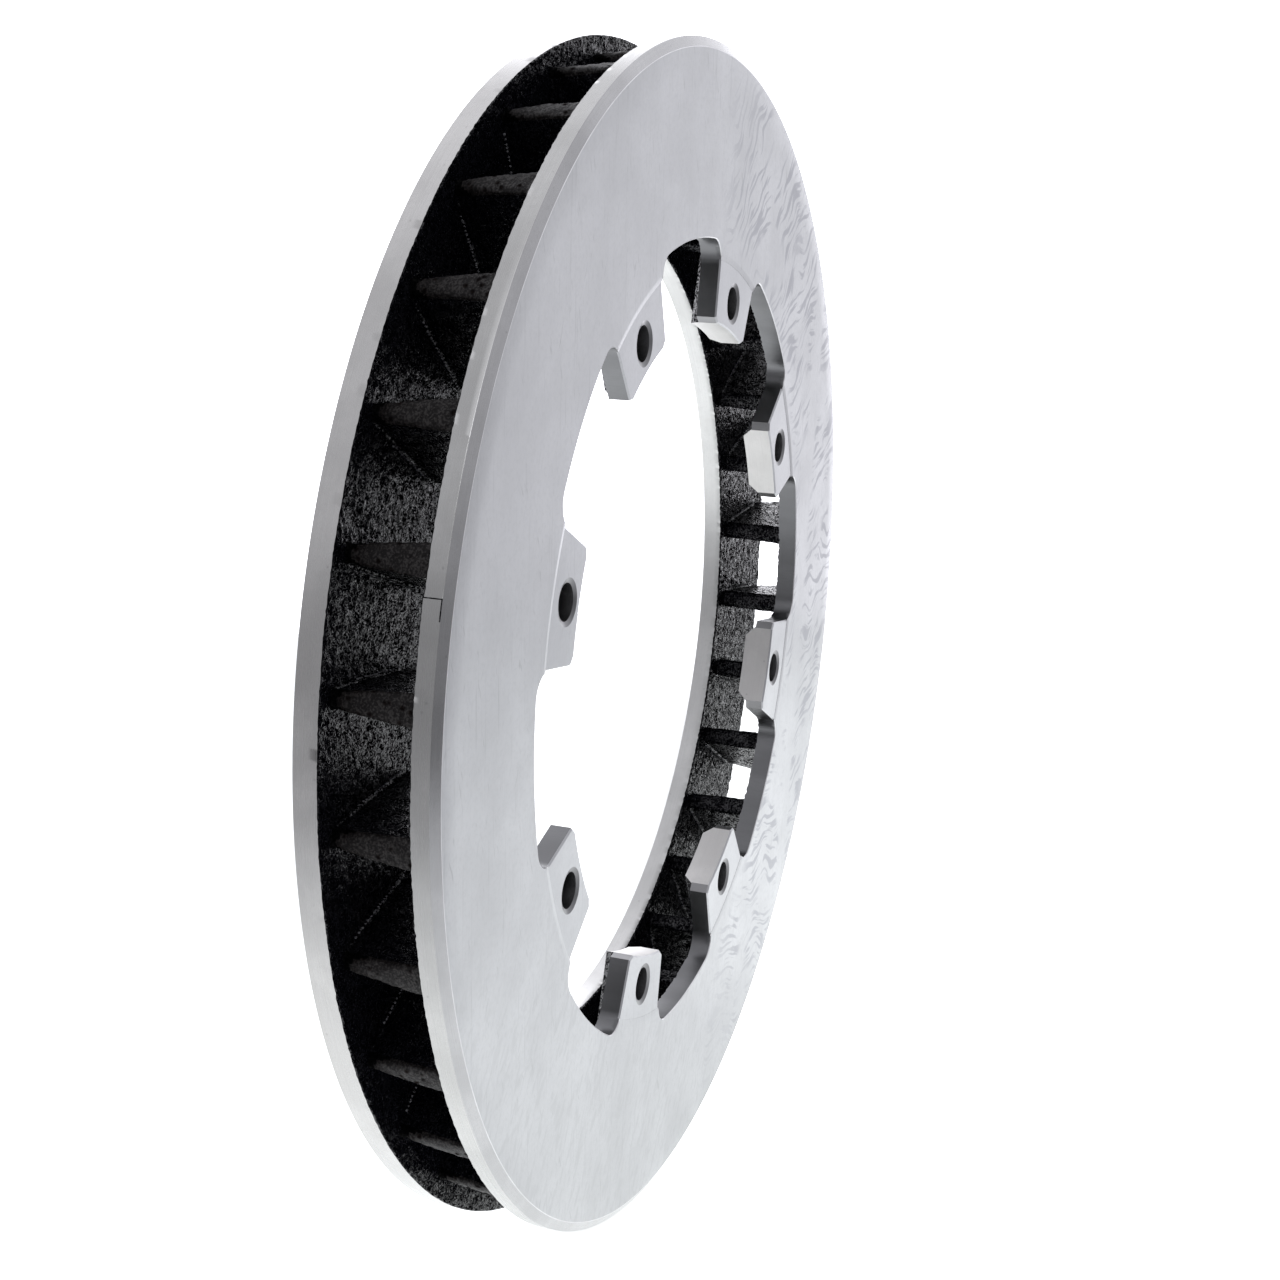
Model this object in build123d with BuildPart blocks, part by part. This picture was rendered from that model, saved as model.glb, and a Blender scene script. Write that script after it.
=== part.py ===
"""Ventilated brake disc rotor ring with eight bolt-on lugs.

One grey-iron casting: two friction cheeks joined by radial cooling vanes, with
lugs on the front cheek that a separate hat bolts to.  The casting is modelled
as its named regions, which meet face to face: the two friction rings, each
cooling vane and each mounting lug.

Frame: millimetres.  The rotor's axis is Y and its front, the lug side, faces
-Y.  +Z is up, with the middle of a scallop straight above the axis.  The
origin is on the axis, in the plane of the eight lug seats.
"""
import math
import os

from build123d import *

INCH = 25.4

# Overall size
outer_radius = 11.75 * INCH / 2
overall_width = 1.25 * INCH

# Thickness of each layer, from front to rear
front_cheek = 5.5
vent_gap = 19.4
rear_cheek = overall_width - front_cheek - vent_gap

# Lug seats: a land turned slightly below the front friction face
seat_recess = 0.25
seat_radius = 97.5

# Axial stations along Y
front_face_y = -seat_recess
core_front_y = front_face_y + front_cheek
core_rear_y = core_front_y + vent_gap
rear_face_y = core_rear_y + rear_cheek

# Chamfer round the outer edge of both friction faces, and small edge breaks
rim_chamfer_radial = 2.4
rim_chamfer_axial = 1.35
edge_break = 0.4

# Bore of the rear cheek
rear_bore_radius = 104.8

# Scalloped opening of the front cheek, and the lugs that it leaves
scallop_radius = 102.1
scallop_fillet = 6.0
lug_count = 8
lug_pitch = 360 / lug_count
first_lug_angle = lug_pitch / 2
lug_tip_radius = 81.6
lug_half_angle = 9.1
lug_corner_along = 2.0
lug_corner_radial = 1.35

# Bolt holes
bolt_circle_radius = 7.00 * INCH / 2
bolt_hole_radius = 4.25
hole_countersink_radial = 1.15
hole_countersink_axial = 0.45
hole_break = 0.3

# Cast pad that thickens the back of each lug, with sloping sides
pad_height = 2.75
pad_base_width = 22.4
pad_top_width = 17.0
pad_outer_radius = 109.0

# Cooling vanes, each lug backed by one; the casting's draft makes them
# thinner and shorter at the rear cheek than at the front one, and the core
# that forms them sits slightly turned against the machined bolt holes
vane_count = 32
vane_pitch = 360 / vane_count
core_shift_angle = 0.35
vane_corner = 0.9
vane_front = {"inner": 110.6, "outer": 146.0, "inner_width": 5.6, "outer_width": 7.2}
vane_rear = {"inner": 111.4, "outer": 144.8, "inner_width": 5.0, "outer_width": 3.8}

# Shallow milled balance cut in the rim of the front cheek
balance_cut_depth = 0.35
balance_cut_end_angle = 69.9
balance_cut_sweep = 30.0

above_axis = 90.0


def polar(radius, angle):
    """Point of a sketch at this radius and angle, counted from its x axis."""
    return (radius * math.cos(math.radians(angle)), radius * math.sin(math.radians(angle)))


def plane_at(y):
    """Sketch plane across the rotor's axis: x is X, y is Z, and it faces -Y."""
    return Plane.XZ.offset(-y)


# The opening through the front cheek: a circle less the eight lugs.
lug_tip_angle = lug_half_angle - math.degrees(lug_corner_along / lug_tip_radius)
lug_corner_radius = lug_tip_radius + lug_corner_radial
lug_root_radius = scallop_radius + scallop_fillet

with BuildSketch(mode=Mode.PRIVATE) as lug_outline:
    with BuildLine():
        tip = ThreePointArc(
            polar(lug_tip_radius, above_axis - lug_tip_angle),
            polar(lug_tip_radius, above_axis),
            polar(lug_tip_radius, above_axis + lug_tip_angle),
        )
        Polyline(
            tip @ 1,
            polar(lug_corner_radius, above_axis + lug_half_angle),
            polar(lug_root_radius, above_axis + lug_half_angle),
            polar(lug_root_radius, above_axis - lug_half_angle),
            polar(lug_corner_radius, above_axis - lug_half_angle),
            tip @ 0,
        )
    make_face()

with BuildSketch(mode=Mode.PRIVATE) as scalloped_opening:
    Circle(scallop_radius)
    for index in range(lug_count):
        add(lug_outline.sketch, rotation=index * lug_pitch, mode=Mode.SUBTRACT)
    roots = [v for v in scalloped_opening.vertices() if abs(Vector(*v).length - scallop_radius) < 0.01]
    fillet(roots, scallop_fillet)

# Front friction ring: rim chamfer, scalloped bore down to the edge of the lug seats.
with BuildPart() as front_friction_ring:
    with BuildSketch(Plane.XY):
        with BuildLine():
            Polyline(
                (seat_radius, core_front_y),
                (outer_radius, core_front_y),
                (outer_radius, front_face_y + rim_chamfer_axial),
                (outer_radius - rim_chamfer_radial, front_face_y),
                (seat_radius, front_face_y),
                close=True,
            )
        make_face()
    revolve(axis=Axis.Y)
    with BuildSketch(plane_at(core_front_y)):
        add(scalloped_opening.sketch, rotation=first_lug_angle)
    extrude(amount=front_cheek, mode=Mode.SUBTRACT)
    # The balance cut is deepest at one end and runs out to nothing at the other.
    cut_start = above_axis + balance_cut_end_angle - balance_cut_sweep
    cut_middle = above_axis + balance_cut_end_angle - balance_cut_sweep / 2
    cut_end = above_axis + balance_cut_end_angle
    clear_radius = outer_radius + 5
    with BuildSketch(plane_at(core_front_y)):
        with BuildLine():
            ThreePointArc(
                polar(outer_radius, cut_start),
                polar(outer_radius - balance_cut_depth / 2, cut_middle),
                polar(outer_radius - balance_cut_depth, cut_end),
            )
            Polyline(
                polar(outer_radius - balance_cut_depth, cut_end),
                polar(clear_radius, cut_end),
                polar(clear_radius, cut_middle),
                polar(clear_radius, cut_start),
                polar(outer_radius, cut_start),
            )
        make_face()
    extrude(amount=front_cheek - rim_chamfer_axial, mode=Mode.SUBTRACT)
front_friction_ring.part.label = "front_friction_ring"

# Rear friction ring: plain bore, rim chamfer like the front one.
with BuildPart() as rear_friction_ring:
    with BuildSketch(Plane.XY):
        with BuildLine():
            Polyline(
                (rear_bore_radius + edge_break, core_rear_y),
                (outer_radius - edge_break, core_rear_y),
                (outer_radius, core_rear_y + edge_break),
                (outer_radius, rear_face_y - rim_chamfer_axial),
                (outer_radius - rim_chamfer_radial, rear_face_y),
                (rear_bore_radius + rim_chamfer_radial, rear_face_y),
                (rear_bore_radius, rear_face_y - rim_chamfer_axial),
                (rear_bore_radius, core_rear_y + edge_break),
                close=True,
            )
        make_face()
    revolve(axis=Axis.Y)
rear_friction_ring.part.label = "rear_friction_ring"

# Mounting lug: seat, radial sides, chamfered tip corners, bolt hole, cast pad behind.
with BuildPart() as lug_blank:
    with BuildSketch(plane_at(core_front_y)):
        Circle(seat_radius)
        add(scalloped_opening.sketch, mode=Mode.SUBTRACT)
        with BuildLine():
            Polyline(
                (0, 0),
                polar(seat_radius * 2, above_axis - lug_pitch / 2),
                polar(seat_radius * 2, above_axis + lug_pitch / 2),
                close=True,
            )
        make_face(mode=Mode.INTERSECT)
    extrude(amount=core_front_y)
    chamfer(lug_blank.faces().sort_by(Axis.Y)[0].edges().sort_by(Axis.Z)[:-1], edge_break)
    with BuildSketch(Plane.XY.offset(lug_tip_radius * 0.95)) as pad_section:
        with BuildLine():
            Polyline(
                (-pad_base_width / 2, core_front_y),
                (pad_base_width / 2, core_front_y),
                (pad_top_width / 2, core_front_y + pad_height),
                (-pad_top_width / 2, core_front_y + pad_height),
                close=True,
            )
        make_face()
    extrude(amount=pad_outer_radius - lug_tip_radius * 0.95)
    pad_end = lug_blank.edges().filter_by(Axis.X).group_by(Axis.Z)[-1].sort_by(Axis.Y)[-1]
    chamfer(pad_end, pad_height * 0.9)
    with BuildSketch(plane_at(core_front_y + pad_height)):
        Circle(lug_tip_radius)
    extrude(amount=pad_height, mode=Mode.SUBTRACT)
    with BuildSketch(plane_at(core_front_y + pad_height)):
        with Locations((0, bolt_circle_radius)):
            Circle(bolt_hole_radius)
    extrude(amount=core_front_y + pad_height, mode=Mode.SUBTRACT)
    hole_rims = lug_blank.edges().filter_by(lambda e: e.geom_type == GeomType.CIRCLE)
    hole_rims = hole_rims.filter_by(lambda e: abs(e.radius - bolt_hole_radius) < 0.01)
    front_rim, back_rim = hole_rims.sort_by(Axis.Y)
    seat = lug_blank.faces().sort_by(Axis.Y)[0]
    chamfer(front_rim, hole_countersink_radial, hole_countersink_axial, reference=seat)
    chamfer(back_rim, hole_break)

# Cooling vane: tapered along the axis and towards the bore.
with BuildPart() as vane_blank:
    for station, size in ((core_front_y, vane_front), (core_rear_y, vane_rear)):
        with BuildSketch(plane_at(station)) as vane_outline:
            with BuildLine():
                Polyline(
                    (-size["inner_width"] / 2, size["inner"]),
                    (size["inner_width"] / 2, size["inner"]),
                    (size["outer_width"] / 2, size["outer"]),
                    (-size["outer_width"] / 2, size["outer"]),
                    close=True,
                )
            make_face()
            fillet(vane_outline.vertices(), vane_corner)
    loft(ruled=True)

os.makedirs("parts", exist_ok=True)
export_step(front_friction_ring.part, "parts/front_friction_ring.step")
export_step(rear_friction_ring.part, "parts/rear_friction_ring.step")

for index in range(lug_count):
    with BuildPart() as mounting_lug:
        add(lug_blank.part.rotate(Axis.Y, first_lug_angle + index * lug_pitch))
    mounting_lug.part.label = f"mounting_lug_{index + 1}"
    export_step(mounting_lug.part, f"parts/{mounting_lug.part.label}.step")

for index in range(vane_count):
    with BuildPart() as cooling_vane:
        add(vane_blank.part.rotate(Axis.Y, index * vane_pitch + core_shift_angle))
    cooling_vane.part.label = f"cooling_vane_{index + 1:02d}"
    export_step(cooling_vane.part, f"parts/{cooling_vane.part.label}.step")
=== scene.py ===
"""Looks of the ventilated brake disc ring: fine meshes, iron materials, studio and camera.

Everything is in metres in the CAD's own frame.  The rotor's axis is Y, the lug
side faces -Y, and +Z is up.  Lengths below are written in millimetres and
turned into metres where a mesh is made.
"""

import math

import bpy
import numpy as np
from mathutils import Matrix, Vector


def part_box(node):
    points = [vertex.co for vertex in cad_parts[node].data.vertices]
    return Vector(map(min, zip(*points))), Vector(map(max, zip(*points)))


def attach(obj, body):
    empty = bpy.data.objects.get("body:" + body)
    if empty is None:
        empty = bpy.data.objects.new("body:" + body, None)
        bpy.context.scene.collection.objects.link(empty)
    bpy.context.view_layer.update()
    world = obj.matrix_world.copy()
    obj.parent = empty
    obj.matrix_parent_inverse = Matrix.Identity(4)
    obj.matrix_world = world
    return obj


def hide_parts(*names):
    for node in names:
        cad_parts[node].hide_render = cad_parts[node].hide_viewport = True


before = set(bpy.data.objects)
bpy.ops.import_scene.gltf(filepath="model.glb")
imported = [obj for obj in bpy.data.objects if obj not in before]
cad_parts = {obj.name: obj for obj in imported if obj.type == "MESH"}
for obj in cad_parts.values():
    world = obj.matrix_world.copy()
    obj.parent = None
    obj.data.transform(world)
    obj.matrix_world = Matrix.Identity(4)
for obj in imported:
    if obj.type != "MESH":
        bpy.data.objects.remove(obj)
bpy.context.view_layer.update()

MM = 0.001
FULL_TURN = 2 * math.pi

# Driving dimensions in millimetres, as in the CAD
OUTER_RADIUS = 149.225
SEAT_RADIUS = 97.5
SCALLOP_RADIUS = 102.1
SCALLOP_FILLET = 6.0
LUG_COUNT = 8
LUG_HALF_ANGLE = math.radians(9.1)
LUG_TIP_RADIUS = 81.6
BOLT_CIRCLE_RADIUS = 88.9
BOLT_HOLE_RADIUS = 4.25
COUNTERSINK_RADIUS = 5.4
REAR_BORE_RADIUS = 104.8
RIM_CHAMFER_RADIAL = 2.4
RIM_CHAMFER_AXIAL = 1.35
VANE_COUNT = 32
BALANCE_CUT_DEPTH = 0.35
BALANCE_CUT_START = math.radians(129.9)
BALANCE_CUT_END = math.radians(159.9)

# Stations along the axis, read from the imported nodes
FRONT_FACE_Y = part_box("front_friction_ring")[0].y / MM
CORE_FRONT_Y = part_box("front_friction_ring")[1].y / MM
CORE_REAR_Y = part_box("rear_friction_ring")[0].y / MM
REAR_FACE_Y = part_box("rear_friction_ring")[1].y / MM


# ---------------------------------------------------------------- noise and meshes

def cells(u, v, period, seed):
    """Smooth noise of about -1..1 on a lattice that repeats after `period` cells along u."""
    rows = 512
    turns = np.random.default_rng(seed).random((period, rows)) * FULL_TURN
    iu, iv = np.floor(u).astype(int), np.floor(v).astype(int)
    fu, fv = u - iu, v - iv

    def corner(du, dv):
        turn = turns[(iu + du) % period, (iv + dv) % rows]
        return np.cos(turn) * (fu - du) + np.sin(turn) * (fv - dv)

    su, sv = (f * f * f * (f * (f * 6 - 15) + 10) for f in (fu, fv))
    near = corner(0, 0) * (1 - su) + corner(1, 0) * su
    far = corner(0, 1) * (1 - su) + corner(1, 1) * su
    return 1.5 * (near * (1 - sv) + far * sv)


def cast_height(u, v, period, seed):
    """Height in mm of as-cast skin: rounded lumps, finer grain, broad waves and small deep pits."""
    lumps = cells(u, v, period, seed)
    fine = cells(u * 2, v * 2, period * 2, seed + 1)
    broad = cells(u / 4, v / 4, period // 4, seed + 2)
    pits = np.minimum(cells(u, v, period, seed + 3) + 0.35, 0)
    return 0.24 * lumps + 0.12 * fine + 0.10 * broad + 0.60 * pits


def grid_mesh(points, slots, closed_rows=True):
    """Quads on points[row, column] in mm, closed round the columns.

    slots gives each row of quads its material number.
    """
    rows, columns = points.shape[:2]
    row = np.arange(rows if closed_rows else rows - 1)[:, None]
    column = np.arange(columns)[None, :]
    next_row, next_column = (row + 1) % rows, (column + 1) % columns
    corners = (row * columns + column, row * columns + next_column,
               next_row * columns + next_column, next_row * columns + column)
    quads = np.stack([np.broadcast_to(c, (row.size, column.size)) for c in corners], -1).reshape(-1, 4)
    slot_of_quad = np.repeat(np.asarray(slots)[: row.size], column.size)
    return points.reshape(-1, 3), quads, slot_of_quad


def add_piece(name, parts, materials, sharp_angle=35):
    """One object from (points, faces, material numbers) parts, smooth except at sharp edges."""
    points, faces, slots = [], [], []
    for part_points, part_faces, part_slots in parts:
        base = sum(len(p) for p in points)
        points.append(np.asarray(part_points, float) * MM)
        faces += [tuple(int(i) + base for i in f) for f in part_faces]
        slots.append(np.asarray(part_slots, int))
    mesh = bpy.data.meshes.new(name)
    mesh.from_pydata(np.concatenate(points).tolist(), [], faces)
    for material in materials:
        mesh.materials.append(material)
    mesh.polygons.foreach_set("material_index", np.concatenate(slots).astype(np.int32))
    mesh.polygons.foreach_set("use_smooth", np.ones(len(faces), bool))
    mesh.set_sharp_from_angle(angle=math.radians(sharp_angle))
    mesh.update()
    piece = bpy.data.objects.new(name, mesh)
    bpy.context.scene.collection.objects.link(piece)
    return piece


def stand_for(piece, node):
    """The piece takes the place of a CAD node and rides with the part."""
    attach(piece, "root")
    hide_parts(node)


def turned(radius, angle, y):
    """Points at these radii and angles (from +X towards +Z) and heights along the axis."""
    radius, angle, y = np.broadcast_arrays(radius, angle, y)
    return np.stack([radius * np.cos(angle), y, radius * np.sin(angle)], -1)


# ---------------------------------------------------------------- materials

class Shader:
    """Short calls that build one material's node tree around its Principled shader."""

    def __init__(self, name):
        self.material = bpy.data.materials.new(name)
        self.material.use_nodes = True
        self.nodes = self.material.node_tree.nodes
        self.links = self.material.node_tree.links
        self.surface = self.nodes["Principled BSDF"]
        coordinates = self.nodes.new("ShaderNodeTexCoord").outputs["Object"]
        self.place = self.vector_math("SCALE", coordinates, scale=1 / MM)
        parts = self.nodes.new("ShaderNodeSeparateXYZ")
        self.links.new(self.place, parts.inputs[0])
        self.x, self.y, self.z = parts.outputs
        flat = self.vector(self.x, 0, self.z)
        self.radius = self.vector_math("LENGTH", flat)
        outward = self.nodes.new("ShaderNodeSeparateXYZ")
        self.links.new(self.vector_math("NORMALIZE", flat), outward.inputs[0])
        self.out_x, _, self.out_z = outward.outputs

    def feed(self, socket, value):
        if isinstance(value, bpy.types.NodeSocket):
            self.links.new(value, socket)
        elif value is not None:
            socket.default_value = value

    def math(self, operation, a, b=None):
        node = self.nodes.new("ShaderNodeMath")
        node.operation = operation
        for socket, value in zip(node.inputs, (a, b)):
            self.feed(socket, value)
        return node.outputs[0]

    def vector_math(self, operation, a, b=None, scale=None):
        node = self.nodes.new("ShaderNodeVectorMath")
        node.operation = operation
        self.feed(node.inputs[0], a)
        if scale is None:
            self.feed(node.inputs[1], b)
        else:
            self.feed(node.inputs["Scale"], scale)
        return node.outputs["Value" if operation in ("LENGTH", "DOT_PRODUCT") else "Vector"]

    def vector(self, x, y, z):
        node = self.nodes.new("ShaderNodeCombineXYZ")
        for socket, value in zip(node.inputs, (x, y, z)):
            self.feed(socket, value)
        return node.outputs[0]

    def noise(self, place, scale=1.0, detail=2.0, roughness=0.5, distortion=0.0):
        node = self.nodes.new("ShaderNodeTexNoise")
        self.feed(node.inputs["Vector"], place)
        for name, value in (("Scale", scale), ("Detail", detail), ("Roughness", roughness),
                            ("Distortion", distortion)):
            self.feed(node.inputs[name], value)
        return node.outputs["Fac"]

    def spots(self, place, scale):
        node = self.nodes.new("ShaderNodeTexVoronoi")
        self.feed(node.inputs["Vector"], place)
        self.feed(node.inputs["Scale"], scale)
        return node.outputs["Distance"]

    def step(self, value, low, high, to_low=0.0, to_high=1.0):
        """value as it passes smoothly from low to high, given as to_low..to_high."""
        node = self.nodes.new("ShaderNodeMapRange")
        node.interpolation_type = "SMOOTHSTEP"
        for socket, v in zip(node.inputs, (value, low, high, to_low, to_high)):
            self.feed(socket, v)
        return node.outputs[0]

    def mix(self, share, a, b):
        node = self.nodes.new("ShaderNodeMix")
        node.data_type = "RGBA"
        self.feed(node.inputs["Factor"], share)
        for name, value in (("A", a), ("B", b)):
            socket = next(s for s in node.inputs if s.name == name and s.type == "RGBA")
            self.feed(socket, value if isinstance(value, bpy.types.NodeSocket) else (*value, 1))
        return next(s for s in node.outputs if s.type == "RGBA")

    def product(self, *values):
        total = values[0]
        for value in values[1:]:
            total = self.math("MULTIPLY", total, value)
        return total

    def total(self, *values):
        result = values[0]
        for value in values[1:]:
            result = self.math("ADD", result, value)
        return result

    def around(self, lines, along):
        """Place for noise drawn out round the circumference.

        lines is how many cells there are per mm of radius, and along how many per radian.
        """
        return self.vector(
            self.math("MULTIPLY", self.total(self.radius, self.y), lines),
            self.math("MULTIPLY", self.out_x, along),
            self.math("MULTIPLY", self.out_z, along),
        )

    def bump(self, height, depth, strength=1.0, below=None):
        """A normal from a height of 0..1, `depth` mm deep, on top of another bump."""
        node = self.nodes.new("ShaderNodeBump")
        node.inputs["Distance"].default_value = depth * MM
        node.inputs["Strength"].default_value = strength
        self.feed(node.inputs["Height"], height)
        self.feed(node.inputs["Normal"], below)
        return node.outputs[0]

    def finish(self, color, metallic, roughness, normal=None, **more):
        for name, value in (("Base Color", color), ("Metallic", metallic), ("Roughness", roughness),
                            ("Normal", normal), *more.items()):
            self.feed(self.surface.inputs[name.replace("_", " ")], value)
        return self.material


def shade(tint, factor):
    return tuple(min(1, c * factor) for c in tint)


def scratches(s, turn, lines, length, low, high):
    """Straight scratches at `turn` degrees from +Z across the face: 0 between them, 1 on them."""
    cos, sin = math.cos(math.radians(turn)), math.sin(math.radians(turn))
    across = s.total(s.product(s.x, cos), s.product(s.z, -sin))
    along = s.total(s.product(s.x, sin), s.product(s.z, cos))
    field = s.noise(s.vector(s.product(across, lines), s.y, s.product(along, 1 / length)), detail=2,
                    roughness=0.6, distortion=0.1)
    return s.step(field, low, high)


def oil_wrinkles(s):
    """Dried oil film on the +X side of the face: loose strokes, in patches, fanning out from its far side."""
    far_x, far_z = s.total(s.x, 150.0), s.total(s.z, 50.0)
    warp = s.noise(s.place, scale=0.035, detail=2)
    lean = s.product(s.math("SUBTRACT", warp, 0.5), 0.10)
    across = s.product(s.total(s.math("ARCTAN2", far_z, far_x), lean), 150.0)
    along = s.product(s.vector_math("LENGTH", s.vector(far_x, far_z, 0.0)), 0.065)
    strokes = s.noise(s.vector(across, along, 0.0), detail=2, roughness=0.5, distortion=0.1)
    stripe = s.step(strokes, 0.51, 0.58)
    side = s.step(s.total(s.out_x, s.product(warp, 0.5)), 0.38, 0.70)
    band = s.product(s.step(s.radius, 98, 106), s.step(s.radius, 148, 143))
    patch = s.step(s.noise(s.place, scale=0.05, detail=2), 0.36, 0.50)
    wiped = s.math("ABSOLUTE", s.total(s.product(s.x, 0.987), s.product(s.z, -0.161), -110.0))
    return s.product(stripe, side, band, patch, s.step(wiped, 3.0, 6.5))


def ground_face(name, tint, film):
    """Friction face: fine ground metal with faint lay, scratches and smudges.  film adds the dried oil."""
    s = Shader(name)
    lay = s.noise(s.around(9.0, 6.0), detail=3, roughness=0.7)
    cloud = s.noise(s.place, scale=0.03, detail=5, roughness=0.65)
    grain = s.noise(s.place, scale=0.9, detail=3, roughness=0.7)
    long = scratches(s, 4, 1.6, 26, 0.60, 0.74)
    short = s.total(scratches(s, -14, 1.1, 7, 0.66, 0.76), scratches(s, 28, 1.3, 9, 0.67, 0.78))
    color = s.mix(s.step(cloud, 0.30, 0.70), shade(tint, 1.05), shade(tint, 0.93))
    color = s.mix(s.product(s.step(grain, 0.45, 0.7), 0.35), color, shade(tint, 0.86))
    color = s.mix(s.product(s.step(lay, 0.45, 0.75), 0.35), color, shade(tint, 0.84))
    color = s.mix(s.product(long, 0.6), color, shade(tint, 0.76))
    color = s.mix(s.product(short, 0.6), color, shade(tint, 0.68))
    rough = s.total(0.30, s.product(s.math("SUBTRACT", cloud, 0.5), 0.10), s.product(grain, 0.08))
    normal = s.bump(lay, 0.006, 0.5, s.bump(grain, 0.02, 0.35))
    if film:
        wrinkle = oil_wrinkles(s)
        # Lower down the oil has dried to short slanting marks.
        low = s.product(s.step(s.z, -10, -70), s.step(s.x, 60, 0))
        marks = s.product(scratches(s, 38, 0.55, 6, 0.50, 0.64), low)
        color = s.mix(s.product(wrinkle, 0.9), color, shade((tint[0], tint[1], tint[2] * 1.05), 0.72))
        color = s.mix(s.product(marks, 0.5), color, shade(tint, 0.82))
        rough = s.total(rough, s.product(wrinkle, 0.06))
        normal = s.bump(wrinkle, 0.03, 0.3, normal)
    return s.finish(color, 1.0, rough, normal)


def turned_metal(name, tint, roughness=0.28, depth=0.008):
    """Lathe-turned rim, chamfer or bore: fine circumferential lines, specks and slow changes of tone."""
    s = Shader(name)
    lines = s.noise(s.around(7.0, 3.0), detail=4, roughness=0.75)
    cloud = s.noise(s.place, scale=0.05, detail=4, roughness=0.6)
    grain = s.noise(s.place, scale=1.2, detail=2, roughness=0.6)
    speck = s.step(s.spots(s.place, 0.22), 0.09, 0.03)
    color = s.mix(s.step(cloud, 0.35, 0.65), shade(tint, 1.04), shade(tint, 0.90))
    color = s.mix(s.product(s.step(lines, 0.42, 0.72), 0.35), color, shade(tint, 0.78))
    color = s.mix(s.product(s.step(grain, 0.5, 0.7), 0.3), color, shade(tint, 0.85))
    color = s.mix(s.product(speck, 0.4), color, shade(tint, 0.5))
    rough = s.total(roughness, s.product(s.math("SUBTRACT", lines, 0.5), 0.2))
    return s.finish(color, 1.0, rough, s.bump(lines, depth, 0.6))


def milled_wall(name, tint, roughness=0.34):
    """Scallop and lug sides: smooth dark cut metal that changes slowly from place to place."""
    s = Shader(name)
    slow = s.noise(s.vector(s.product(s.x, 0.11), s.product(s.y, 0.03), s.product(s.z, 0.11)), detail=2)
    fine = s.noise(s.vector(s.product(s.x, 2.5), s.product(s.y, 0.3), s.product(s.z, 2.5)), detail=2)
    color = s.mix(s.step(slow, 0.35, 0.65), shade(tint, 1.06), shade(tint, 0.88))
    color = s.mix(s.product(s.step(fine, 0.45, 0.7), 0.3), color, shade(tint, 0.88))
    return s.finish(color, 1.0, roughness, s.bump(fine, 0.003, 0.4))


def cast_skin(name, tint, wear_and_shade, roughness=0.15, dull=0.0, gloss=1.0):
    """As-cast skin: near black, with small glossy grains that stand between dull, sooty hollows."""
    s = Shader(name)
    grain = s.noise(s.place, scale=2.1, detail=3, roughness=0.6)
    lumps = s.noise(s.place, scale=0.5, detail=3, roughness=0.6)
    high = s.step(s.total(grain, s.product(lumps, 0.4)), 0.66, 0.80)
    pits = s.step(s.spots(s.place, 0.42), 0.34, 0.10)
    color = s.mix(high, tint, wear_and_shade)
    shine = s.product(s.total(dull, s.product(high, gloss)), s.math("SUBTRACT", 1.0, pits))
    rough = s.total(roughness, s.product(s.math("SUBTRACT", grain, 0.5), 0.2), s.product(pits, 0.4))
    normal = s.bump(grain, 0.18, 1.0, s.bump(lumps, 0.5, 0.7))
    return s.finish(color, 0.0, rough, normal, IOR=1.5, Specular_IOR_Level=s.product(shine, 0.5))


def drilled_wall(name, tint):
    """Bolt hole: cut metal near its mouth, painted darker further in as painted shade."""
    s = Shader(name)
    fine = s.noise(s.vector(s.product(s.x, 1.2), s.product(s.y, 4.0), s.product(s.z, 1.2)), detail=2)
    # Painted shade: the wall's colour darkens with depth into the hole.
    color = s.mix(s.step(s.y, 0.2, 3.4), tint, shade(tint, 0.22))
    color = s.mix(s.product(s.step(fine, 0.45, 0.7), 0.3), color, shade(tint, 0.3))
    return s.finish(color, 1.0, 0.4, s.bump(fine, 0.004, 0.5))


FACE = ground_face("ground_iron_face", (0.485, 0.49, 0.50), film=True)
# The rear face is the front face's ground iron in a darker tint, as painted shade.
REAR_FACE = ground_face("ground_iron_rear", (0.36, 0.362, 0.37), film=False)
SEAT = ground_face("faced_iron_seat", (0.49, 0.495, 0.507), film=False)
# The rims and the bore are turned alike, and their tints carry painted light: the bore much paler, the rear
# rim a little paler than the front.
FRONT_RIM = turned_metal("turned_iron_front_rim", (0.50, 0.50, 0.49))
REAR_RIM = turned_metal("turned_iron_rear_rim", (0.54, 0.535, 0.525))
CHAMFER = turned_metal("turned_iron_chamfer", (0.50, 0.50, 0.503), 0.24)
BORE = turned_metal("turned_iron_bore", (0.66, 0.66, 0.65), 0.42)
TIP = turned_metal("bored_iron_lug_end", (0.62, 0.612, 0.60), 0.4)
WALL = milled_wall("milled_iron_wall", (0.205, 0.207, 0.212))
CORNER = milled_wall("milled_iron_corner", (0.30, 0.30, 0.305))
COUNTERSINK = milled_wall("countersunk_iron", (0.20, 0.20, 0.205), 0.3)
HOLE = drilled_wall("drilled_iron_hole", (0.20, 0.20, 0.205))
# Broken edges in a pale tint: a painted highlight along them.
EDGE_HIGHLIGHT = milled_wall("broken_edge_painted_highlight", (0.70, 0.70, 0.71), 0.3)
SKIN = cast_skin("cast_iron_skin", (0.002, 0.002, 0.003), (0.010, 0.010, 0.013))
VANE_END = cast_skin("cast_iron_vane_end", (0.005, 0.004, 0.004), (0.014, 0.011, 0.010), 0.5, 0.26, 0.5)
# Near-black painted shade on the outer end of each vane, round its patch of own skin.
VANE_END_SHADE = cast_skin("cast_iron_vane_end_painted_shade", (0.001, 0.001, 0.001), (0.002, 0.002, 0.002), 0.6,
                           0.02, 0.1)
FLASH = cast_skin("cast_iron_flash", (0.22, 0.22, 0.23), (0.45, 0.45, 0.47), 0.4)


# ---------------------------------------------------------------- friction rings

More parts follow.
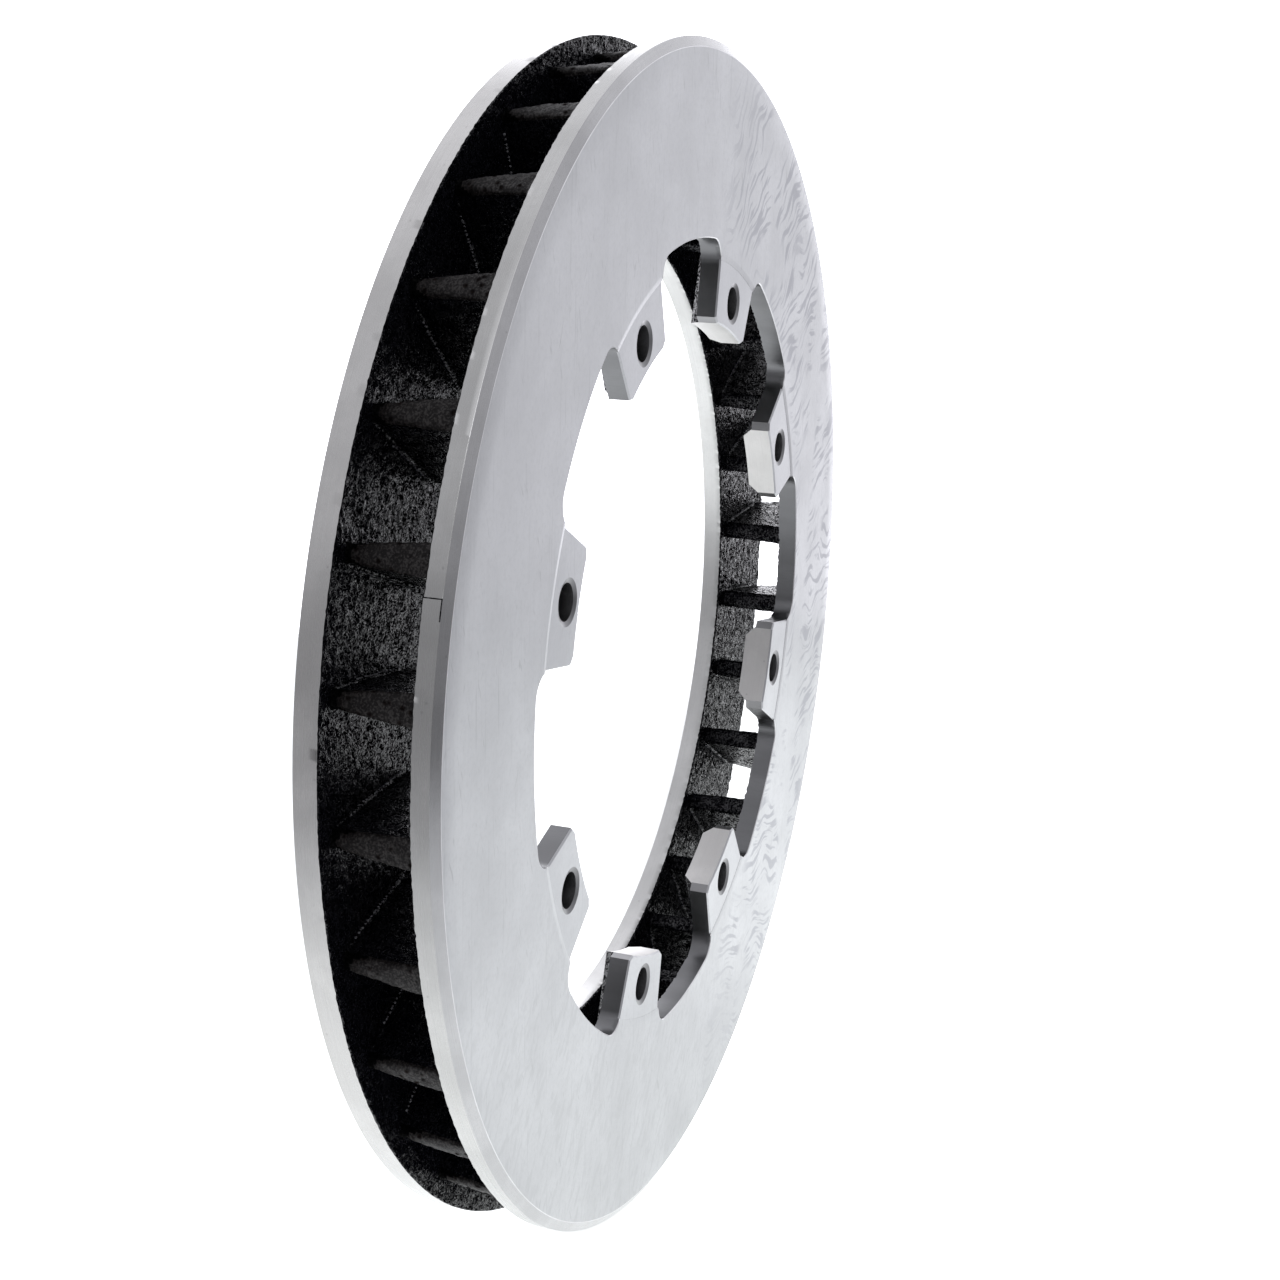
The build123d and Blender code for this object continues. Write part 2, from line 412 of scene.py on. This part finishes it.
CELL = 1.15          # lattice cell of the cast lumps, mm
EDGE_BREAK = 0.22    # small breaks on machined edges, mm
SEAT_SLOPE = 1.5     # width of the slope down to each lug seat, mm
FRONT_SEED = 11      # seeds of the two cheeks' cast skin
REAR_SEED = 31
COLUMN_STEP = math.radians(0.29)     # angle between columns of the front ring's mesh
REAR_COLUMNS = 1280


def ring_skin(radius, angle, seed):
    """Cast height on a cheek's inner face, the same size of lump at every radius."""
    period = int(FULL_TURN * 125 / CELL) // 4 * 4
    return cast_height(angle / FULL_TURN * period, radius / CELL, period, seed)


def rim_edge(angle, seed):
    """Waviness in mm of the edge where a turned rim meets the cast skin."""
    return np.clip(0.5 * ring_skin(OUTER_RADIUS, angle, seed), -0.15, 0.15)


def front_columns(step):
    """Angles round the front ring and the radius of its scalloped bore at each, for one full turn."""
    centre = SCALLOP_RADIUS - SCALLOP_FILLET
    fillet_angle = LUG_HALF_ANGLE + math.asin(SCALLOP_FILLET / centre)
    cosine = (SEAT_RADIUS ** 2 - centre ** 2 - SCALLOP_FILLET ** 2) / (2 * centre * SCALLOP_FILLET)
    sweep = np.linspace(-math.acos(cosine), 0, 15)
    across, out = SCALLOP_FILLET * np.sin(sweep), centre + SCALLOP_FILLET * np.cos(sweep)
    fillet_radii, fillet_angles = np.hypot(across, out), fillet_angle + np.arctan2(across, out)
    half = math.pi / LUG_COUNT
    on_lug = np.arange(0, fillet_angles[0], step)
    in_valley = np.linspace(fillet_angle, half, int((half - fillet_angle) / step))[1:-1]
    angles = np.concatenate([on_lug, fillet_angles, in_valley])
    radii = np.concatenate([np.full(len(on_lug), SEAT_RADIUS), fillet_radii,
                            np.full(len(in_valley), SCALLOP_RADIUS)])
    angles = np.concatenate([-angles[:0:-1], angles])
    radii = np.concatenate([radii[:0:-1], radii])
    first = math.pi / LUG_COUNT
    lugs = [first + FULL_TURN * i / LUG_COUNT for i in range(LUG_COUNT)]
    return np.concatenate([lug + angles for lug in lugs]), np.tile(radii, LUG_COUNT)


def front_ring():
    on_face, on_chamfer, on_rim, on_skin, on_wall, on_edge_highlight = range(6)
    angle, bore = front_columns(COLUMN_STEP)
    # Two columns close together make the sharp end of the balance cut.
    end = np.array([BALANCE_CUT_END - 0.0002, BALANCE_CUT_END + 0.0016])
    turns = np.mod(angle, FULL_TURN)
    at = int(np.argmin(np.abs(turns - BALANCE_CUT_END)))
    angle = np.concatenate([angle[:at - 1], end, angle[at + 2:]])
    bore = np.concatenate([bore[:at - 1], bore[[at, at]], bore[at + 2:]])
    turns = np.mod(angle, FULL_TURN)
    rim = OUTER_RADIUS
    share = (turns - BALANCE_CUT_START) / (BALANCE_CUT_END - BALANCE_CUT_START)
    cut = BALANCE_CUT_DEPTH * np.where((share > 0) & (share <= 1), share, 0)
    rows, slots = [], []

    def row(radius, y, slot):
        rows.append(turned(radius, angle, y))
        slots.append(slot)

    # The small step down to each lug seat is a narrow slope, and elsewhere the bore's edge is just broken.
    at_seat = bore < SEAT_RADIUS + 0.001
    face_inner = bore + np.where(at_seat, SEAT_SLOPE, EDGE_BREAK)
    face_outer = rim - RIM_CHAMFER_RADIAL
    row(face_inner, FRONT_FACE_Y, on_face)
    for t in np.linspace(0, 1, 8):
        row(face_inner + 0.1 + (face_outer - 0.22 - face_inner) * t, FRONT_FACE_Y, on_face)
    # The narrow row at the face's outer edge carries the painted highlight.
    slots[-1] = on_edge_highlight
    for t in (0.035, 0.09):
        row(face_outer + RIM_CHAMFER_RADIAL * t + 0 * angle, FRONT_FACE_Y + RIM_CHAMFER_AXIAL * t, on_chamfer)
    chamfer_end = FRONT_FACE_Y + RIM_CHAMFER_AXIAL
    first_rim_row = len(rows)
    row(rim + 0 * angle, chamfer_end, on_rim)
    row(rim - cut, chamfer_end + 0.3, on_rim)
    for t in (0.35, 0.7):
        row(rim - cut, chamfer_end + (CORE_FRONT_Y - chamfer_end) * t, on_rim)
    cast_outer = rim - cut - EDGE_BREAK
    row(rim - cut, CORE_FRONT_Y - EDGE_BREAK + rim_edge(angle, FRONT_SEED), on_skin)
    for t in np.linspace(0, 1, 58):
        radius = cast_outer + (bore - cast_outer) * t
        row(radius, CORE_FRONT_Y + ring_skin(radius, angle, FRONT_SEED), on_skin)
    slots[-1] = on_wall
    for t in (0.3, 0.7):
        row(bore + 0 * angle, CORE_FRONT_Y + (FRONT_FACE_Y - CORE_FRONT_Y) * t, on_wall)
    # The bore's broken edge carries the painted highlight too.
    row(bore + 0 * angle, FRONT_FACE_Y + EDGE_BREAK, on_edge_highlight)
    points, quads, slot = grid_mesh(np.stack(rows), slots)
    # The step at the end of the cut, and the tool mark that turns down beside it, take the near-black skin as
    # painted shade.
    slot = slot.reshape(len(rows), len(angle))
    slot[first_rim_row:first_rim_row + 4, at - 1] = on_skin
    slot[first_rim_row, at:at + 5] = on_skin
    # At the lug seats the bore's edge takes the face's finish, without the painted highlight.
    slot[-1, at_seat & np.roll(at_seat, -1)] = on_face
    # These rows run the other way round the section than the rear ring's, so the quads are turned over.
    piece = add_piece("front_ring_casting", [(points, quads[:, ::-1], slot.reshape(-1))],
                      [FACE, CHAMFER, FRONT_RIM, SKIN, WALL, EDGE_HIGHLIGHT])
    stand_for(piece, "front_friction_ring")


def rear_ring():
    on_face, on_rim, on_chamfer, on_skin, on_bore = range(5)
    angle = np.linspace(0, FULL_TURN, REAR_COLUMNS, endpoint=False)
    rim, bore = OUTER_RADIUS, REAR_BORE_RADIUS
    rows, slots = [], []

    def row(radius, y, slot):
        rows.append(turned(radius + 0 * angle, angle, y))
        slots.append(slot)

    row(bore, CORE_REAR_Y + 0.4 + np.clip(0.7 * ring_skin(bore, angle, REAR_SEED), -0.2, 0.2), on_skin)
    for t in np.linspace(0, 1, 68):
        radius = bore + EDGE_BREAK + (rim - bore - 2 * EDGE_BREAK) * t
        row(radius, CORE_REAR_Y - ring_skin(radius, angle, REAR_SEED), on_skin)
    row(rim, CORE_REAR_Y + EDGE_BREAK - rim_edge(angle, REAR_SEED), on_rim)
    for t in (0.4, 0.8):
        row(rim, CORE_REAR_Y + (REAR_FACE_Y - RIM_CHAMFER_AXIAL - CORE_REAR_Y) * t, on_rim)
    row(rim, REAR_FACE_Y - RIM_CHAMFER_AXIAL, on_chamfer)
    # Rows close to each edge keep the shading of the face and of its chamfers apart.
    face_outer, face_inner = rim - RIM_CHAMFER_RADIAL, bore + RIM_CHAMFER_RADIAL
    row(face_outer + RIM_CHAMFER_RADIAL * 0.08, REAR_FACE_Y - RIM_CHAMFER_AXIAL * 0.08, on_chamfer)
    for t in (0, 0.005, 0.17, 0.33, 0.5, 0.67, 0.83, 0.995, 1):
        row(face_outer + (face_inner - face_outer) * t, REAR_FACE_Y, on_face)
    slots[-1] = on_chamfer
    row(face_inner - RIM_CHAMFER_RADIAL * 0.08, REAR_FACE_Y - RIM_CHAMFER_AXIAL * 0.08, on_chamfer)
    row(bore, REAR_FACE_Y - RIM_CHAMFER_AXIAL, on_bore)
    row(bore, CORE_REAR_Y + 2.0, on_bore)
    # The rows run the other way round the section, so that the faces point outwards.
    mesh = grid_mesh(np.stack(rows)[::-1], slots[-2::-1] + slots[-1:])
    piece = add_piece("rear_ring_casting", [mesh], [REAR_FACE, REAR_RIM, CHAMFER, SKIN, BORE])
    stand_for(piece, "rear_friction_ring")


# ---------------------------------------------------------------- cooling vanes

VANE_FOOT = 0.5      # radius of the fillet at each end of a vane, mm
VANE_SINK = 0.6      # how far a vane runs into each cheek, mm
CORE_SHIFT = math.radians(0.35)      # the core sits this much turned against the bolt holes, as in the CAD


def vane_section(t, flare):
    """Outline of a vane at share t of the way to the rear cheek, as (radius, across) points."""
    inner, outer = 110.8 + 0.6 * t - flare * 0.6, 146.0 - 1.2 * t ** 2 + flare
    inner_half, outer_half = 2.8 - 0.3 * t + flare, 3.55 - 1.65 * t ** 1.15 + flare
    squareness = 0.55 + 0.35 * t
    turn = np.linspace(math.pi / 2, -math.pi / 2, 11)

    def rounded(at, depth, half):
        out = at + depth * (np.abs(np.cos(turn)) ** squareness - 1)
        return out, half * np.sign(np.sin(turn)) * np.abs(np.sin(turn)) ** squareness

    end_out, end_across = rounded(outer, 0.9 + 1.1 * t, outer_half)
    tip_out, tip_across = rounded(-inner, 1.3, inner_half)
    along = np.linspace(0, 1, 44)[1:-1]
    side_out = end_out[-1] + (-tip_out[-1] - end_out[-1]) * along
    side_across = outer_half + (inner_half - outer_half) * along
    radius = np.concatenate([end_out, side_out, -tip_out[::-1], side_out[::-1]])
    across = np.concatenate([end_across, -side_across, tip_across[::-1], side_across[::-1]])
    return radius, across


def bead_rows(seed):
    """Rows of small flash beads along both feet of a vane, on the rear cheek."""
    on_flash = 2
    random = np.random.default_rng(seed)
    parts = []
    ring = np.linspace(0, FULL_TURN, 6, endpoint=False)
    for side in (-1, 1):
        radius = random.uniform(113, 118)
        last = random.uniform(134, 142)
        while radius < last:
            size = random.uniform(0.13, 0.26)
            foot = 2.5 - 0.6 * (radius - 111) / 33.8 + VANE_FOOT
            across = side * (foot + 0.35 + random.uniform(-0.12, 0.12))
            points = [(across, CORE_REAR_Y - 0.35 - size * 0.7, radius)]
            for share, drop in ((0.8, -0.25), (1.0, 0.6)):
                points += [(across + size * 0.9 * share * math.cos(a), CORE_REAR_Y - 0.35 + drop * size,
                            radius + size * 1.5 * share * math.sin(a)) for a in ring]
            points.append((across, CORE_REAR_Y + size, radius))
            faces = []
            for i in range(6):
                j = (i + 1) % 6
                faces += [(0, 1 + i, 1 + j), (1 + j, 1 + i, 7 + i, 7 + j), (13, 7 + j, 7 + i)]
            parts.append((np.array(points), faces, [on_flash] * len(faces)))
            radius += size * random.uniform(3.2, 7.0)
    return parts


def vane(index):
    """One vane, standing up the Z axis first, then turned to its place."""
    on_end, on_end_shade = 1, 3
    height = CORE_REAR_Y - CORE_FRONT_Y
    fillet = np.linspace(0, VANE_FOOT, 4)
    stations = np.concatenate([
        [-VANE_SINK], fillet, np.linspace(VANE_FOOT, height - VANE_FOOT, 24)[1:-1],
        height - fillet[::-1], [height + VANE_SINK]])
    sections = []
    for depth in stations:
        near = np.clip(min(depth, height - depth), 0, VANE_FOOT)
        flare = VANE_FOOT - math.sqrt(VANE_FOOT ** 2 - (VANE_FOOT - near) ** 2)
        radius, across = vane_section(np.clip(depth / height, 0, 1), flare)
        sections.append(np.stack([across, np.full(len(radius), CORE_FRONT_Y + depth), radius], -1))
    points = np.stack(sections)
    tangent = np.roll(points, -1, 1) - np.roll(points, 1, 1)
    outward = np.stack([tangent[..., 2], 0 * tangent[..., 0], -tangent[..., 0]], -1)
    outward /= np.maximum(np.linalg.norm(outward, axis=-1, keepdims=True), 1e-9)
    columns = points.shape[1]
    period = columns // 8 * 4
    u = np.arange(columns) / columns * period
    skin = cast_height(np.broadcast_to(u, points.shape[:2]), points[..., 1] / 1.5, period, 500 + 7 * index)
    points = points + outward * (skin * 0.8)[..., None]
    # The outer end keeps its own skin in a patch with a round nose, short of the rear cheek; round the patch
    # it is painted near black as painted shade.
    share = np.clip(stations[:-1] / height, 0, 1)
    nose = np.sqrt(np.clip(1 - (np.clip(share - 0.64, 0, None) / 0.26) ** 2, 0, 1))
    middle = np.abs(np.arange(10) - 4.5 - 0.4) / 5.0
    wear_and_shade = np.where(middle[None, :] < np.where(share < 0.64, 2.0, nose)[:, None], on_end, on_end_shade)
    slot = np.zeros((len(stations) - 1, columns), int)
    slot[:, :10] = wear_and_shade
    caps = [tuple(range(columns)), tuple(range((len(stations) - 1) * columns, len(stations) * columns))[::-1]]
    flat, quads, _ = grid_mesh(points, [0] * len(stations), closed_rows=False)
    body = (flat, [tuple(q) for q in quads[:, ::-1]] + caps, np.concatenate([slot.reshape(-1), [0, 0]]))
    turn = FULL_TURN * index / VANE_COUNT + CORE_SHIFT
    parts = []
    for part_points, faces, slots in [body] + bead_rows(900 + index):
        x, y, z = np.asarray(part_points).T
        turned_x = x * math.cos(turn) + z * math.sin(turn)
        turned_z = z * math.cos(turn) - x * math.sin(turn)
        parts.append((np.stack([turned_x, y, turned_z], -1), faces, slots))
    piece = add_piece(f"vane_casting_{index + 1:02d}", parts, [SKIN, VANE_END, FLASH, VANE_END_SHADE])
    stand_for(piece, f"cooling_vane_{index + 1:02d}")


# ---------------------------------------------------------------- mounting lugs

def lug(index):
    """A lug: the CAD shape with each of its surfaces finished as it was cut or cast."""
    on_seat, on_tip, on_wall, on_hole, on_skin, on_countersink, on_corner = range(7)
    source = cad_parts[f"mounting_lug_{index + 1}"].data
    co = np.array([v.co for v in source.vertices]) / MM
    _, first, joined = np.unique(np.round(co, 3), axis=0, return_index=True, return_inverse=True)
    joined = joined.reshape(-1)
    turn = math.pi / LUG_COUNT + FULL_TURN * index / LUG_COUNT
    radial = np.array([math.sin(turn), 0, math.cos(turn)])
    across = np.array([math.cos(turn), 0, -math.sin(turn)])
    bolt_axis = radial * BOLT_CIRCLE_RADIUS
    faces, slots = [], []
    for polygon in source.polygons:
        corners = [int(joined[v]) for v in polygon.vertices]
        if len(set(corners)) < 3:
            continue
        normal = np.array(polygon.normal)
        middle = co[list(polygon.vertices)].mean(0)
        from_bolt = np.linalg.norm((middle - bolt_axis)[[0, 2]])
        if from_bolt < COUNTERSINK_RADIUS - 0.05 and abs(normal[1]) < 0.95:
            slot = on_countersink if normal[1] < -0.3 else on_hole
        elif normal[1] < -0.5:
            slot = on_seat
        elif normal[1] > 0.3 or (middle[1] > CORE_FRONT_Y + 0.05 and abs(normal @ across) > 0.5):
            slot = on_skin
        elif normal @ radial < -0.93:
            slot = on_tip
        elif normal @ radial < -0.6:
            slot = on_corner
        else:
            slot = on_wall
        faces.append(tuple(corners))
        slots.append(slot)
    materials = [SEAT, TIP, WALL, HOLE, SKIN, COUNTERSINK, CORNER]
    piece = add_piece(f"lug_casting_{index + 1}", [(co[first], faces, slots)], materials, 15)
    stand_for(piece, f"mounting_lug_{index + 1}")


front_ring()
rear_ring()
for number in range(VANE_COUNT):
    vane(number)
for number in range(LUG_COUNT):
    lug(number)


# ---------------------------------------------------------------- studio

# Glow of the room against the direction, from its darkest side to its brightest
GLOW_STOPS = ((0.0, 0.0), (0.16, 0.01), (0.26, 0.08), (0.40, 0.17), (0.59, 0.17), (0.65, 0.10), (0.69, 0.16),
              (0.72, 0.27), (0.765, 0.37), (0.81, 0.52), (0.90, 1.0))
# Soft pools of light under the table: middle, inner and outer radius in m, and strength
TABLE_GLOWS = (((0.25, 0.30), 0.42, 0.60, 0.34), ((-0.12, 0.0), 0.10, 0.36, 0.50),
               ((0.30, 0.05), 0.17, 0.25, 0.42))
TABLE_RADIUS = 0.5       # m
# The room's bright side, and how far from it each end of the stops lies, as cosines
GLOW_WAY = (0.62, 0.78, -0.6)
GLOW_RANGE = (-0.5, 0.7)
GLOW_STRENGTH = 2.4
# Upward way of the soft even light, its range of cosines, and its strength at each end
SKY_WAY = (0.3, 0.0, 1.0)
SKY_RANGE = (-0.25, 0.45)
SKY_LEVELS = (0.20, 0.68)
ROOM_COLOR = (0.975, 0.975, 1.025, 1)
# Camera: focal length in mm on a 36 mm sensor, place in m and viewing direction in the
# frame of a ring whose first lug is turned from the CAD's by the angle that follows
LENS, SENSOR = 53.376, 36
CAMERA_PLACE = (-0.4414, -0.14765, 0.1566)
CAMERA_AHEAD = (0.89046, 0.32487, -0.31865)
RING_TURN = math.radians(-0.376)


def stage_floor():
    """A round white table under the disc, lit softly from below."""
    radius, z = TABLE_RADIUS, -OUTER_RADIUS * MM
    turns = np.linspace(0, FULL_TURN, 128, endpoint=False)
    mesh = bpy.data.meshes.new("studio_table")
    edge = [(radius * math.cos(a), radius * math.sin(a), z) for a in turns]
    mesh.from_pydata(edge, [], [tuple(range(len(edge)))])
    table = bpy.data.objects.new("studio_table", mesh)
    bpy.context.scene.collection.objects.link(table)
    pale = bpy.data.materials.new("pale_table")
    pale.use_nodes = True
    surface = pale.node_tree.nodes["Principled BSDF"]
    surface.inputs["Base Color"].default_value = (0.93, 0.94, 0.94, 1)
    surface.inputs["Roughness"].default_value = 0.9
    surface.inputs["Specular IOR Level"].default_value = 0.1
    surface.inputs["Emission Color"].default_value = (0.97, 1.0, 0.99, 1)
    nodes, links = pale.node_tree.nodes, pale.node_tree.links
    here = nodes.new("ShaderNodeTexCoord").outputs["Object"]
    glow = nodes.new("ShaderNodeValue").outputs[0]
    glow.default_value = 0.0
    for middle, near, far, level in TABLE_GLOWS:
        away = nodes.new("ShaderNodeVectorMath")
        away.operation = "DISTANCE"
        away.inputs[1].default_value = (*middle, z)
        links.new(here, away.inputs[0])
        pool = nodes.new("ShaderNodeMapRange")
        pool.interpolation_type = "SMOOTHSTEP"
        for socket, value in zip(pool.inputs[1:], (near, far, level, 0.0)):
            socket.default_value = value
        links.new(away.outputs["Value"], pool.inputs[0])
        both = nodes.new("ShaderNodeMath")
        links.new(glow, both.inputs[0])
        links.new(pool.outputs[0], both.inputs[1])
        glow = both.outputs[0]
    links.new(glow, surface.inputs["Emission Strength"])
    mesh.materials.append(pale)


def studio_world():
    """A white room: brightest low down behind the disc on its right, dim round the horizon in front of it."""
    world = bpy.data.worlds.new("studio_world")
    bpy.context.scene.world = world
    world.use_nodes = True
    nodes, links = world.node_tree.nodes, world.node_tree.links
    ways = nodes.new("ShaderNodeTexCoord").outputs["Generated"]

    def mapped(value, numbers):
        node = nodes.new("ShaderNodeMapRange")
        for socket, number in zip(node.inputs[1:], numbers):
            socket.default_value = number
        links.new(value, node.inputs[0])
        return node

    facing = nodes.new("ShaderNodeVectorMath")
    facing.operation = "DOT_PRODUCT"
    facing.inputs[1].default_value = Vector(GLOW_WAY).normalized()
    links.new(ways, facing.inputs[0])
    ramp = nodes.new("ShaderNodeValToRGB")
    stops = ramp.color_ramp.elements
    for place, level in GLOW_STOPS[1:-1]:
        stops.new(place)
    for stop, (place, level) in zip(stops, GLOW_STOPS):
        stop.position = place
        stop.color = (level, level, level, 1)
    links.new(mapped(facing.outputs["Value"], (*GLOW_RANGE, 0.0, 1.0)).outputs[0], ramp.inputs[0])
    height = nodes.new("ShaderNodeVectorMath")
    height.operation = "DOT_PRODUCT"
    height.inputs[1].default_value = SKY_WAY
    links.new(ways, height.inputs[0])
    sky = mapped(height.outputs["Value"], (*SKY_RANGE, *SKY_LEVELS))
    sky.interpolation_type = "SMOOTHSTEP"
    strength = nodes.new("ShaderNodeMath")
    strength.operation = "MULTIPLY_ADD"
    strength.inputs[1].default_value = GLOW_STRENGTH
    links.new(ramp.outputs[0], strength.inputs[0])
    links.new(sky.outputs[0], strength.inputs[2])
    background = nodes["Background"]
    background.inputs["Color"].default_value = ROOM_COLOR
    links.new(strength.outputs[0], background.inputs["Strength"])


def camera():
    data = bpy.data.cameras.new("camera")
    data.lens, data.sensor_width = LENS, SENSOR
    data.clip_end = 100
    ahead = Vector(CAMERA_AHEAD).normalized()
    right = ahead.cross(Vector((0, 0, 1))).normalized()
    up = right.cross(ahead)
    basis = Matrix((right, up, -ahead)).transposed().to_4x4()
    basis.translation = Vector(CAMERA_PLACE)
    clocking = Matrix.Rotation(RING_TURN, 4, "Y")
    thing = bpy.data.objects.new("camera", data)
    thing.matrix_world = clocking @ basis
    bpy.context.scene.collection.objects.link(thing)
    bpy.context.scene.camera = thing


stage_floor()
studio_world()
camera()
bpy.context.scene.view_settings.view_transform = "Standard"
